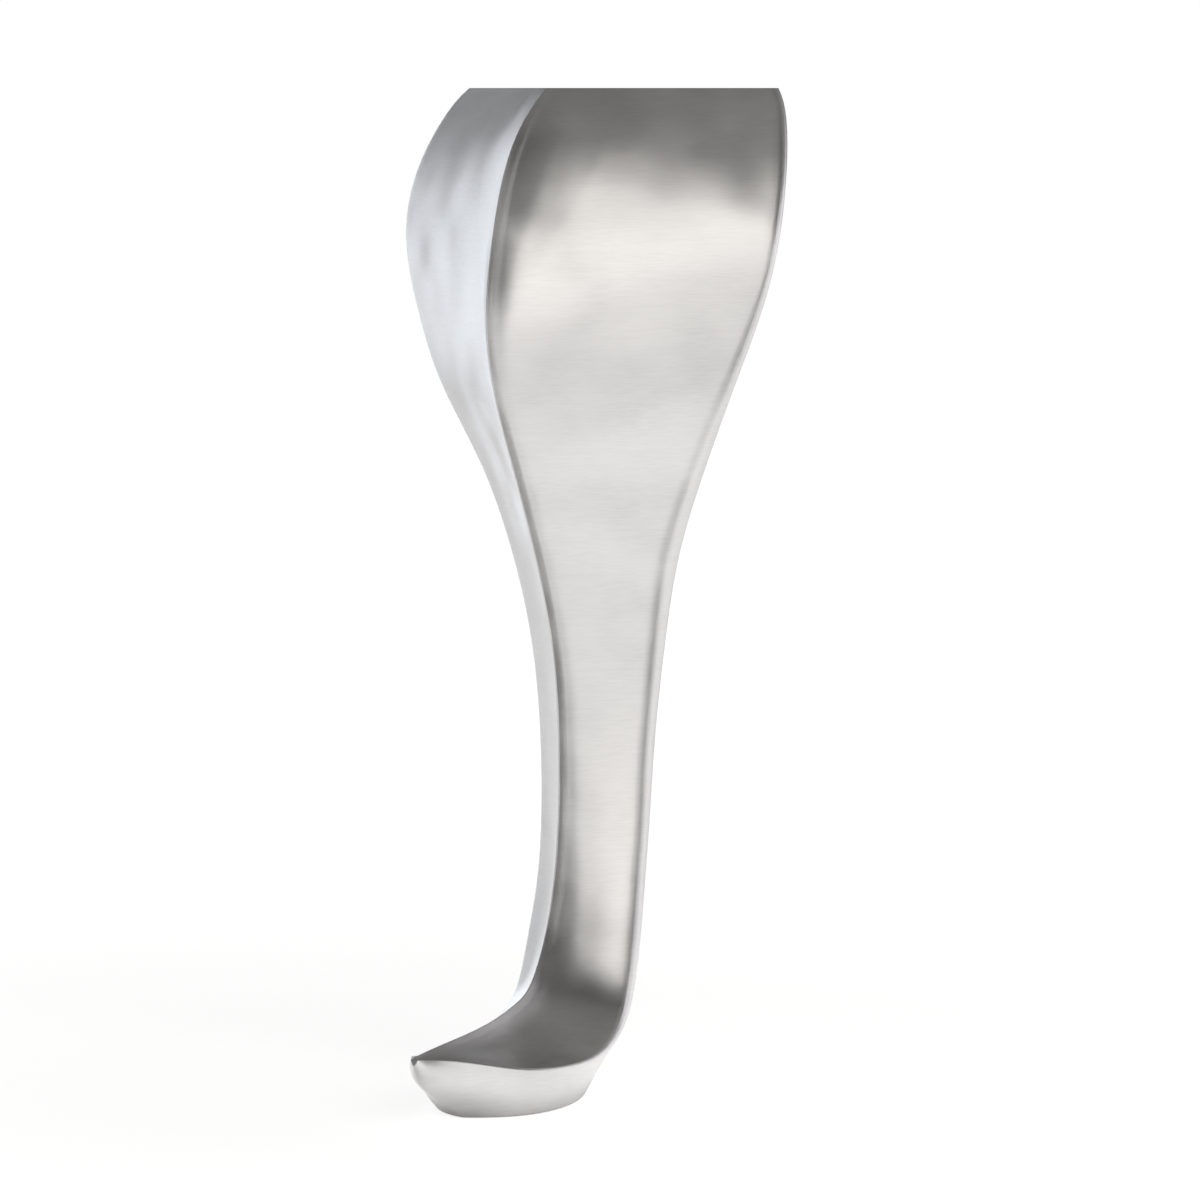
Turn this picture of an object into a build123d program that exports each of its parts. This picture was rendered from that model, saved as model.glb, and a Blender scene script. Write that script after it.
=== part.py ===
from build123d import *
from math import cos, radians, tan
from typing import NamedTuple
import os

# Curved furniture leg, millimetres. The origin is the centre of the mounting hole in the flat
# top and +Z is up. "Forward" is level and toward the toe, along the corner of the square section.
HEIGHT = 150.0

# Mounting hole, M8
THREAD_RADIUS = 4.0
THREAD_DEPTH = 22.0
DRILL_ANGLE = 118.0
MOUTH_CHAMFER = 0.5

# Edge broken all round the sole
SOLE_EDGE = 0.8


class Station(NamedTuple):
    """One cross-section: a square on its corner, with a keel along the front corner."""

    ridge: tuple  # forward, height
    back: tuple  # forward, height
    side: float  # where the side corners stand, as a share of the way from ridge to back
    half_width: float
    keel: float  # how far the ridge stands out from the corner of the two front faces
    flank: float  # how far the keel's concave flank runs out along the face
    hollow: float  # how far the middle of the face is drawn in
    side_radius: float
    back_radius: float
    belly: float  # how far the rear faces swell


# Heights below the flat top
SHANK = [
    Station((24.0, 0.0), (-27.0, 0.0), 0.470, 27.0, 2.0, 13.0, 0.6, 1.6, 3.0, 0.0),
    Station((31.1, -5.0), (-25.8, -5.0), 0.489, 30.0, 2.3, 13.0, 0.6, 1.6, 3.0, 0.0),
    Station((37.2, -13.0), (-23.6, -13.0), 0.487, 32.1, 2.4, 12.0, 0.6, 1.6, 3.0, 0.0),
    Station((40.5, -22.0), (-21.0, -22.0), 0.491, 32.4, 1.9, 8.5, 0.6, 1.7, 3.0, 0.0),
    Station((42.4, -32.0), (-17.6, -32.0), 0.522, 30.4, 1.2, 4.5, 0.6, 2.3, 3.2, 0.0),
    Station((40.3, -44.0), (-12.8, -44.0), 0.544, 26.2, 1.0, 2.6, 0.6, 3.4, 3.6, 0.0),
    Station((34.1, -56.5), (-9.3, -56.5), 0.575, 20.6, 0.9, 2.3, 0.6, 4.8, 4.0, 0.0),
    Station((27.3, -70.0), (-6.4, -70.0), 0.570, 15.8, 0.9, 2.2, 0.5, 5.6, 4.2, 0.0),
    Station((22.1, -84.0), (-4.2, -84.0), 0.565, 12.8, 0.9, 2.2, 0.4, 4.9, 4.0, 0.0),
    Station((20.3, -98.0), (-2.8, -98.0), 0.550, 10.9, 0.9, 2.3, 0.4, 4.0, 3.6, 0.0),
]

# Heights above the sole. Points below zero are cut away by the flat of the sole.
FOOT = [
    Station((20.5, 40.0), (-1.6, 39.0), 0.550, 10.2, 1.0, 2.6, 0.4, 3.6, 3.4, 0.0),
    Station((21.8, 31.7), (0.0, 28.5), 0.550, 10.1, 1.3, 3.2, 0.4, 3.4, 3.2, 0.0),
    Station((24.9, 23.0), (2.3, 16.6), 0.538, 10.4, 1.6, 4.0, 0.4, 3.0, 3.0, 0.0),
    Station((29.2, 16.8), (6.2, 8.0), 0.550, 10.7, 1.7, 4.0, 0.3, 2.4, 2.8, 0.0),
    Station((34.0, 14.5), (12.4, 0.6), 0.450, 11.7, 1.6, 3.4, 0.2, 1.3, 2.5, 0.5),
    Station((41.5, 12.9), (25.6, -7.6), 0.290, 12.2, 1.6, 3.0, 0.0, 0.6, 2.6, 3.8),
    Station((49.0, 12.1), (40.0, -5.8), 0.257, 9.8, 2.0, 4.2, 0.0, 0.5, 2.2, 6.0),
    Station((55.0, 11.7), (51.6, 1.0), 0.250, 6.2, 1.4, 4.0, 0.0, 0.4, 1.6, 3.9),
    Station((60.4, 11.3), (60.4, 5.3), 0.170, 2.6, 0.4, 1.5, 0.0, 0.2, 1.0, 1.9),
    Station((63.8, 11.0), (64.2, 9.6), 0.300, 0.6, 0.1, 0.2, 0.0, 0.1, 0.2, 0.1),
]

# Strips that the flank, the round of the side and the round of the back are laid in
FLANK_STRIPS = 2
SIDE_STRIPS = 5
BACK_STRIPS = 3

FORWARD = Vector(-1, -1, 0).normalized()
ACROSS = Vector(1, -1, 0).normalized()
UP = Vector(0, 0, 1)


def arch(start, middle, end):
    """Cubic control points of the parabola that leaves start and reaches end aiming at middle."""
    return [start, (start + middle * 2) / 3, (end + middle * 2) / 3, end]


def rounding(start, toward, end, away, radius):
    """Cubic control points of an arc of this radius, leaving start and reaching end."""
    pull = 4 / 3 * tan(radians(toward.get_angle(away)) / 4) * radius
    return [start, start + toward * pull, end - away * pull, end]


def strips(curve, count):
    """The cubic cut into this many cubics, end to end."""
    cut = []
    for left in range(count, 1, -1):
        a = [p + (q - p) / left for p, q in zip(curve, curve[1:])]
        b = [p + (q - p) / left for p, q in zip(a, a[1:])]
        c = b[0] + (b[1] - b[0]) / left
        cut.append([curve[0], a[0], b[0], c])
        curve = [c, b[1], a[2], curve[3]]
    return cut + [curve]


def half_section(station, length):
    """Cubic pieces of one half, ridge to back: X runs back from the ridge, Y runs across."""
    root = Vector(station.keel, 0)
    side = Vector(length * station.side, station.half_width)
    back = Vector(length, 0)

    face = (side - root).normalized()
    chord = (back - side).normalized()
    swell = (side + back) / 2 + Vector(-chord.Y, chord.X) * station.belly
    rear = (swell - side).normalized()
    inward = (back - swell).normalized()

    foot = root + face * station.flank
    setback = station.side_radius * tan(radians(face.get_angle(rear)) / 2)
    onset = side - face * setback
    release = side + rear * setback
    half_turn = radians(inward.get_angle(Vector(0, -1)))
    spine = back - inward * station.back_radius * tan(half_turn)
    end = back - Vector(station.back_radius * (1 / cos(half_turn) - 1), 0)

    middle = (foot + onset) / 2 + Vector(face.Y, -face.X) * station.hollow
    entry = (middle - foot).normalized()
    leave = (onset - middle).normalized()
    flank = arch(Vector(0, 0), foot - entry * station.flank * 0.6, foot)
    side_round = rounding(onset, leave, release, rear, station.side_radius)
    back_round = rounding(spine, inward, end, Vector(0, -1), station.back_radius)
    return (
        strips(flank, FLANK_STRIPS)
        + [arch(foot, middle, onset)]
        + strips(side_round, SIDE_STRIPS)
        + [arch(release, swell, spine)]
        + strips(back_round, BACK_STRIPS)
    )


def section(station, base):
    """The closed wire of a station whose heights are measured from the height base."""
    ridge = FORWARD * station.ridge[0] + UP * (base + station.ridge[1])
    back = FORWARD * station.back[0] + UP * (base + station.back[1])
    rearward = (back - ridge).normalized()
    pieces = half_section(station, (back - ridge).length)

    def edge(points, side):
        return Edge.make_bezier(*[ridge + rearward * p.X + ACROSS * (side * p.Y) for p in points])

    right = [edge(p, 1) for p in pieces]
    left = [edge(reversed(p), -1) for p in reversed(pieces)]
    return Wire(right + left)


leg = Solid.make_loft([section(s, 0) for s in SHANK] + [section(s, -HEIGHT) for s in FOOT])

# Sole, cut flat at the foot of the leg
below_floor = Pos(0, 0, -HEIGHT) * Box(
    4 * HEIGHT, 4 * HEIGHT, HEIGHT, align=(Align.CENTER, Align.CENTER, Align.MAX)
)
leg -= below_floor
sole_edges = leg.faces().sort_by(Axis.Z)[0].edges()
leg = fillet(sole_edges, SOLE_EDGE)

# Mounting hole with its drill point and a chamfered mouth
half_angle = radians(DRILL_ANGLE / 2)
drill = Polyline(
    (0, 0),
    (THREAD_RADIUS + MOUTH_CHAMFER, 0),
    (THREAD_RADIUS, -MOUTH_CHAMFER),
    (THREAD_RADIUS, -THREAD_DEPTH),
    (0, -THREAD_DEPTH - THREAD_RADIUS / tan(half_angle)),
    close=True,
)
leg -= revolve(Plane.XZ * make_face(drill), Axis.Z)

os.makedirs("parts", exist_ok=True)
export_step(leg, "parts/leg.step")
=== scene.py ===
import bpy
import math
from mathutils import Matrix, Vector


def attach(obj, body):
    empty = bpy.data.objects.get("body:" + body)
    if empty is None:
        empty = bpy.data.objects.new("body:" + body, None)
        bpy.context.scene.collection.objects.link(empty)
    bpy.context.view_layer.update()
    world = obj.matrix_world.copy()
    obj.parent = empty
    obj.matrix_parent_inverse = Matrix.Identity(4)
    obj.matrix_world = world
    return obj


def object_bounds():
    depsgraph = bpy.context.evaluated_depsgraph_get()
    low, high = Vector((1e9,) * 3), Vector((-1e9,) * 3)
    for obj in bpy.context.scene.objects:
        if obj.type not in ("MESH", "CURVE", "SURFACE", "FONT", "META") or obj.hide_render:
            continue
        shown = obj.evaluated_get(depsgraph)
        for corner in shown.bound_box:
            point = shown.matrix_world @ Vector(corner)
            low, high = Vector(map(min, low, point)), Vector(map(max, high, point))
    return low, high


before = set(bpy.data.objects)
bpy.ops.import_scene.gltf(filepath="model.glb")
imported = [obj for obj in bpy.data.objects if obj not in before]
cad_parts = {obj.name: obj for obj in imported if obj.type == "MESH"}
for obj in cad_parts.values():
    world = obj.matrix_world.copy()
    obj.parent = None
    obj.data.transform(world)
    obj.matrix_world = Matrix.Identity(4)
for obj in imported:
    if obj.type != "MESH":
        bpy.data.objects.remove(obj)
cad_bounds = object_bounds()

SCENE = bpy.context.scene
FLOOR = cad_bounds[0][2]
FLOOR_SIZE = 6.0
FLOOR_GAP = 0.0001
MIDDLE = Vector((0.0, 0.0, FLOOR / 2))

# Camera, fitted to the photograph: it stands level with the flat top, a little to the left, and looks
# slightly down
CAMERA_TURN = -17.0
CAMERA_TILT = 85.0445
CAMERA_PLACE = (-0.26563, -0.85760, 0.0)
LENS = 177.15
SENSOR = 36.0

# Mounting thread, M8, from the chamfer at the mouth to the end of the full bore. The two shares are half the
# ridge's width at its foot and at its crest, as shares of the pitch. The foot sits a little inside the metal
THREAD_RADIUS = 0.0040
THREAD_PITCH = 0.00125
THREAD_TOP = -0.0012
THREAD_BOTTOM = -0.0210
THREAD_DEPTH = 0.00067
THREAD_SEAT = 0.00005
FOOT_SHARE = 7 / 16
CREST_SHARE = 1 / 8
STEPS_A_TURN = 48

# Rounding of the metal's edges and of its shallow creases, and how alike two normals are at such a crease
EDGE_ROUND = 0.0003
CREASE_ROUND = 0.0025
ROUND_SAMPLES = 4
CREASE_ALIKE = (0.965, 0.985)

# The stretch of a noise's values that a change runs over, long for soft changes and short for firm ones
SOFT = (0.3, 0.7)
FIRM = (0.35, 0.65)

WARM = (1.0, 0.985, 0.955)
COOL = (0.90, 0.94, 1.0)
LAVENDER = (0.965, 0.95, 1.0)
WHITE = (1.0, 1.0, 1.0, 1.0)

# Lamps: azimuth (0 at the camera's side, positive to its right), elevation, distance, width, height,
# brightness of the lamp's face (1 reads as white) and colour
LAMPS = {
    "key_right": (28.0, 16.0, 1.5, 1.15, 1.05, 1.36, WARM),
    "key_top": (30.0, 43.0, 1.5, 1.15, 0.40, 0.62, WARM),
    "side_right": (108.0, 6.0, 0.9, 1.10, 0.40, 0.95, LAVENDER),
    "side_top": (125.0, 33.0, 1.2, 0.90, 0.22, 0.35, LAVENDER),
    "fill_top": (-150.0, 30.0, 1.4, 1.15, 0.50, 0.20, COOL),
}

# Upright cards that only reflections see. The black ones draw the dark line beside each edge, the white
# ones light the narrow left side. Azimuth, lean to the left, distance, width, lowest and highest point,
# brightness and colour
CARDS = {
    "black_high": (50.0, 11.0, 0.26, 0.165, -0.04, 0.31, 0.0, WARM),
    "black_low": (62.0, 0.0, 0.12, 0.037, FLOOR, -0.045, 0.0, WARM),
    "white_left": (-148.0, 0.0, 0.42, 0.27, -0.10, 0.085, 1.20, COOL),
    "white_back": (-164.0, 0.0, 0.60, 0.17, FLOOR, -0.035, 1.70, COOL),
}

# Brightness of the floor in reflections, painted light and painted shade that the metal mirrors: a base, a
# side that grows lighter, and round pools that are added, of painted light, or of painted shade where a value
# is below nought. A pool has its middle's azimuth and distance, its inner and outer value, and its inner and
# outer radius
POOL_BASE = 0.45
SIDE_AZIMUTH = 120.0
SIDE_VALUES = (0.0, 0.25)
SIDE_REACH = (0.02, 0.15)
POOLS = {
    "foot": (0.0, 0.0, 0.38, 0.55, 0.06, 0.10),
    "edge": (0.0, 0.0, 0.0, -0.55, 0.11, 0.17),
    "back": (-158.0, 0.26, 0.45, 0.0, 0.04, 0.13),
    # Painted shade on the floor by the toe's tip, which the tip's underside mirrors
    "tip": (-28.0, 0.075, -0.5, 0.0, 0.005, 0.024),
}
# Reach and samples of a painted contact shadow: the floor's light in reflections darkens close to the leg
CONTACT = 0.005
CONTACT_SAMPLES = 8

# Glow of the floor for the camera, which leaves room for the shadow near the leg: values and distances
GLOW_VALUES = (0.76, 0.95)
GLOW_REACH = (0.08, 0.5)

# Brightness of the world at the horizon and overhead, and the Z of a unit direction at which it is full
HORIZON = 0.05
OVERHEAD = 0.18
OVERHEAD_FROM = 0.75


def node(tree, kind, **inputs):
    """A shader node with its inputs set from values or linked from sockets."""
    made = tree.nodes.new(kind)
    for name, value in inputs.items():
        socket = made.inputs[name.replace("_", " ")]
        if isinstance(value, bpy.types.NodeSocket):
            tree.links.new(value, socket)
        else:
            socket.default_value = value
    return made


def noise(tree, where, scale, detail):
    """Noise with its own scale, per metre, along X, Y and Z."""
    space = node(tree, "ShaderNodeMapping", Vector=where, Scale=scale)
    return node(tree, "ShaderNodeTexNoise", Vector=space.outputs[0], Scale=1.0, Detail=detail).outputs["Fac"]


def between(tree, value, low, high, start=0.0, end=1.0):
    """A value that runs from start to end, mapped to low and high."""
    return node(tree, "ShaderNodeMapRange", Value=value, From_Min=start, From_Max=end,
                To_Min=low, To_Max=high).outputs["Result"]


def measure(tree, operation, place, other):
    """The distance or the dot product of a place and a fixed vector."""
    made = tree.nodes.new("ShaderNodeVectorMath")
    made.operation = operation
    tree.links.new(place, made.inputs[0])
    made.inputs[1].default_value = other
    return made.outputs["Value"]


def total(tree, first, second):
    """The sum of two values."""
    made = node(tree, "ShaderNodeMath", Value=first)
    if isinstance(second, bpy.types.NodeSocket):
        tree.links.new(second, made.inputs[1])
    else:
        made.inputs[1].default_value = second
    return made.outputs[0]


def blend(tree, factor, first, second):
    """A colour between two colours."""
    made = tree.nodes.new("ShaderNodeMix")
    made.data_type = "RGBA"
    tree.links.new(factor, made.inputs["Factor"])
    colours = [socket for socket in made.inputs if socket.type == "RGBA"]
    for socket, value in zip(colours, (first, second)):
        if isinstance(value, bpy.types.NodeSocket):
            tree.links.new(value, socket)
        else:
            socket.default_value = (*value, 1.0)
    return [socket for socket in made.outputs if socket.type == "RGBA"][0]


def material(name):
    """An empty node material with its output."""
    made = bpy.data.materials.new(name)
    made.use_nodes = True
    made.node_tree.nodes.clear()
    return made, made.node_tree, made.node_tree.nodes.new("ShaderNodeOutputMaterial")


def smooth_normal(tree):
    """The surface's normal, a little rounded at its edges and evened out over its shallow creases."""
    edge = node(tree, "ShaderNodeBevel", Radius=EDGE_ROUND)
    wide = node(tree, "ShaderNodeBevel", Radius=CREASE_ROUND)
    edge.samples = wide.samples = ROUND_SAMPLES
    flat = tree.nodes.new("ShaderNodeNewGeometry").outputs["Normal"]
    alike = tree.nodes.new("ShaderNodeVectorMath")
    alike.operation = "DOT_PRODUCT"
    tree.links.new(wide.outputs[0], alike.inputs[0])
    tree.links.new(flat, alike.inputs[1])
    mixed = tree.nodes.new("ShaderNodeMix")
    mixed.data_type = "VECTOR"
    even = between(tree, alike.outputs["Value"], 0.0, 1.0, *CREASE_ALIKE)
    tree.links.new(even, mixed.inputs["Factor"])
    sockets = [socket for socket in mixed.inputs if socket.type == "VECTOR" and socket.name in "AB"]
    tree.links.new(edge.outputs[0], sockets[0])
    tree.links.new(wide.outputs[0], sockets[1])
    whole = tree.nodes.new("ShaderNodeVectorMath")
    whole.operation = "NORMALIZE"
    tree.links.new([socket for socket in mixed.outputs if socket.type == "VECTOR"][0], whole.inputs[0])
    return whole.outputs["Vector"]


def brushed_metal():
    """Satin cast metal, brushed level across the leg and polished by hand."""
    made, tree, output = material("brushed_metal")
    where = tree.nodes.new("ShaderNodeTexCoord").outputs["Object"]
    wave = noise(tree, where, (50.0, 50.0, 65.0), 1.0)
    cloud = noise(tree, where, (110.0, 110.0, 160.0), 3.0)
    streak = noise(tree, where, (40.0, 40.0, 1200.0), 2.0)
    grain = noise(tree, where, (400.0, 400.0, 4500.0), 1.0)

    tone = blend(tree, between(tree, cloud, 0.0, 1.0, *SOFT), (0.70, 0.69, 0.68), (0.77, 0.76, 0.75))
    tone = blend(tree, between(tree, streak, 0.0, 0.25, *FIRM), tone, (0.68, 0.67, 0.66))
    tone = blend(tree, between(tree, grain, 0.0, 0.4, *FIRM), tone, (0.80, 0.79, 0.78))
    rough = between(tree, cloud, 0.30, 0.35, *SOFT)

    broad = node(tree, "ShaderNodeBump", Height=wave, Strength=0.8, Distance=0.0012,
                 Normal=smooth_normal(tree))
    fine = node(tree, "ShaderNodeBump", Height=grain, Strength=0.1, Distance=0.00002,
                Normal=broad.outputs["Normal"])
    upward = node(tree, "ShaderNodeCombineXYZ", X=-0.1, Y=-0.1, Z=1.0)
    metal = node(tree, "ShaderNodeBsdfPrincipled", Base_Color=tone, Metallic=1.0, Roughness=rough,
                 Anisotropic=0.8, Tangent=upward.outputs[0], Normal=fine.outputs["Normal"])
    tree.links.new(metal.outputs[0], output.inputs["Surface"])
    return made


def cut_metal():
    """Bright metal of the tapped thread, with fine tool marks round the bore."""
    made, tree, output = material("cut_metal")
    where = tree.nodes.new("ShaderNodeTexCoord").outputs["Object"]
    marks = noise(tree, where, (900.0, 900.0, 16000.0), 1.0)
    tone = blend(tree, between(tree, marks, 0.0, 1.0, *FIRM), (0.66, 0.65, 0.64), (0.78, 0.77, 0.76))
    relief = node(tree, "ShaderNodeBump", Height=marks, Strength=0.2, Distance=0.00002)
    metal = node(tree, "ShaderNodeBsdfPrincipled", Base_Color=tone, Metallic=1.0,
                 Roughness=between(tree, marks, 0.24, 0.34, *SOFT), Normal=relief.outputs["Normal"])
    tree.links.new(metal.outputs[0], output.inputs["Surface"])
    return made


def thread():
    """The thread's ridge: a helix inside the bore that fades in and out over half a turn."""
    turns = (THREAD_TOP - THREAD_BOTTOM) / THREAD_PITCH
    steps = round(turns * STEPS_A_TURN)
    fade = STEPS_A_TURN / 2
    foot, crest = THREAD_PITCH * FOOT_SHARE, THREAD_PITCH * CREST_SHARE
    points, faces = [], []
    for step in range(steps + 1):
        angle = 2 * math.pi * step / STEPS_A_TURN
        height = THREAD_TOP - THREAD_PITCH * step / STEPS_A_TURN
        grown = min(1.0, step / fade, (steps - step) / fade)
        inner = THREAD_RADIUS - THREAD_DEPTH * grown
        outer = THREAD_RADIUS + THREAD_SEAT
        for radius, rise in ((outer, -foot), (inner, -crest), (inner, crest), (outer, foot)):
            points.append((radius * math.cos(angle), radius * math.sin(angle), height + rise))
    for step in range(steps):
        near, far = 4 * step, 4 * step + 4
        for side in range(4):
            after = (side + 1) % 4
            faces.append((near + side, near + after, far + after, far + side))
    faces.append((3, 2, 1, 0))
    faces.append(tuple(4 * steps + side for side in range(4)))
    mesh = bpy.data.meshes.new("mounting_thread_ridge")
    mesh.from_pydata(points, [], faces)
    mesh.update()
    made = bpy.data.objects.new("mounting_thread_ridge", mesh)
    SCENE.collection.objects.link(made)
    made.data.materials.append(cut_metal())
    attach(made, "root")


def outward(azimuth, elevation=0.0):
    """The direction of a place round the leg. Azimuth 0 is the camera's side, positive to its right."""
    turn = math.radians(CAMERA_TURN + azimuth)
    lift = math.radians(elevation)
    return Vector((math.sin(turn) * math.cos(lift), -math.cos(turn) * math.cos(lift), math.sin(lift)))


def on_floor(azimuth, distance):
    """A place on the floor."""
    return outward(azimuth) * distance + Vector((0.0, 0.0, FLOOR))


def lamp(name, azimuth, elevation, distance, width, height, brightness, colour):
    """A rectangular soft lamp that faces the leg."""
    light = bpy.data.lights.new(name, "AREA")
    light.shape = "RECTANGLE"
    light.size, light.size_y = width, height
    light.energy = brightness * math.pi * width * height
    light.color = colour
    toward = outward(azimuth, elevation)
    made = bpy.data.objects.new(name, light)
    made.location = MIDDLE + toward * distance
    made.rotation_euler = (-toward).to_track_quat("-Z", "Y").to_euler()
    made.visible_camera = False
    SCENE.collection.objects.link(made)


def card(name, azimuth, lean, distance, width, low, high, brightness, colour):
    """An upright card, black or glowing, that faces the leg and that only reflections see."""
    bpy.ops.mesh.primitive_plane_add(size=1.0)
    made = bpy.context.object
    made.name = name
    made.scale = (width, high - low, 1.0)
    made.location = outward(azimuth) * distance + Vector((0.0, 0.0, (low + high) / 2))
    made.rotation_euler = (math.radians(90.0), math.radians(-lean), math.radians(CAMERA_TURN + azimuth))
    paint, tree, output = material(name)
    glow = node(tree, "ShaderNodeEmission", Color=(*colour, 1.0), Strength=brightness)
    tree.links.new(glow.outputs[0], output.inputs["Surface"])
    made.data.materials.append(paint)
    made.visible_camera = made.visible_diffuse = made.visible_shadow = False


def studio_world():
    """Nearly dark for what it lights and for reflections, a little lighter overhead, white for the camera."""
    world = bpy.data.worlds.new("studio")
    SCENE.world = world
    world.use_nodes = True
    sky = world.node_tree
    sky.nodes.clear()
    direction = sky.nodes.new("ShaderNodeTexCoord").outputs["Generated"]
    height = node(sky, "ShaderNodeSeparateXYZ", Vector=direction).outputs["Z"]
    grey = between(sky, height, HORIZON, OVERHEAD, 0.0, OVERHEAD_FROM)
    seen = node(sky, "ShaderNodeBackground", Color=WHITE, Strength=1.0)
    lit = node(sky, "ShaderNodeBackground", Color=(1.0, 0.98, 0.96, 1.0), Strength=grey)
    camera_ray = sky.nodes.new("ShaderNodeLightPath").outputs["Is Camera Ray"]
    both = node(sky, "ShaderNodeMixShader", Fac=camera_ray)
    sky.links.new(lit.outputs[0], both.inputs[1])
    sky.links.new(seen.outputs[0], both.inputs[2])
    output = sky.nodes.new("ShaderNodeOutputWorld")
    sky.links.new(both.outputs[0], output.inputs["Surface"])


def pale_floor():
    """A white floor with painted light and painted shade in reflections, lightest round the foot, with a
    painted contact shadow at the leg.
    """
    bpy.ops.mesh.primitive_plane_add(size=FLOOR_SIZE, location=(0, 0, FLOOR - FLOOR_GAP))
    floor = bpy.context.object
    floor.name = "floor"
    made, tree, output = material("floor_white")
    paint = node(tree, "ShaderNodeBsdfDiffuse", Color=(0.85, 0.85, 0.85, 1.0))
    path = tree.nodes.new("ShaderNodeLightPath")
    where = tree.nodes.new("ShaderNodeNewGeometry").outputs["Position"]
    # Painted contact shadow on the floor, seen only in reflections
    shade = node(tree, "ShaderNodeAmbientOcclusion", Distance=CONTACT)
    shade.samples = CONTACT_SAMPLES
    # Painted light of the floor in reflections: a lighter side and pools of painted light and painted shade
    aside = measure(tree, "DOT_PRODUCT", where, outward(SIDE_AZIMUTH))
    bright = total(tree, between(tree, aside, *SIDE_VALUES, *SIDE_REACH), POOL_BASE)
    for azimuth, distance, inner, outer, near, far in POOLS.values():
        away = measure(tree, "DISTANCE", where, on_floor(azimuth, distance))
        bright = total(tree, bright, between(tree, away, inner, outer, near, far))
    away = measure(tree, "DISTANCE", where, on_floor(0.0, 0.0))
    glow = between(tree, away, *GLOW_VALUES, *GLOW_REACH)
    # The floor's painted light, darkened by the painted contact shadow, which only glossy rays see
    mirrored = node(tree, "ShaderNodeEmission", Color=shade.outputs["Color"], Strength=bright)
    seen = node(tree, "ShaderNodeEmission", Color=WHITE, Strength=glow)
    dark = node(tree, "ShaderNodeEmission", Strength=0.0)
    glossy = node(tree, "ShaderNodeMixShader", Fac=path.outputs["Is Glossy Ray"])
    tree.links.new(dark.outputs[0], glossy.inputs[1])
    tree.links.new(mirrored.outputs[0], glossy.inputs[2])
    either = node(tree, "ShaderNodeMixShader", Fac=path.outputs["Is Camera Ray"])
    tree.links.new(glossy.outputs[0], either.inputs[1])
    tree.links.new(seen.outputs[0], either.inputs[2])
    added = tree.nodes.new("ShaderNodeAddShader")
    tree.links.new(paint.outputs[0], added.inputs[0])
    tree.links.new(either.outputs[0], added.inputs[1])
    tree.links.new(added.outputs[0], output.inputs["Surface"])
    floor.data.materials.append(made)


def camera():
    """The camera that was fitted to the photograph."""
    eye = bpy.data.cameras.new("camera")
    eye.lens = LENS
    eye.sensor_width = SENSOR
    made = bpy.data.objects.new("camera", eye)
    made.location = CAMERA_PLACE
    made.rotation_euler = (math.radians(CAMERA_TILT), 0.0, math.radians(CAMERA_TURN))
    SCENE.collection.objects.link(made)
    SCENE.camera = made


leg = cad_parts["leg"]
leg.data.materials.clear()
leg.data.materials.append(brushed_metal())
thread()

camera()
studio_world()
pale_floor()
for name, values in LAMPS.items():
    lamp(name, *values)
for name, values in CARDS.items():
    card(name, *values)

SCENE.view_settings.view_transform = "Standard"
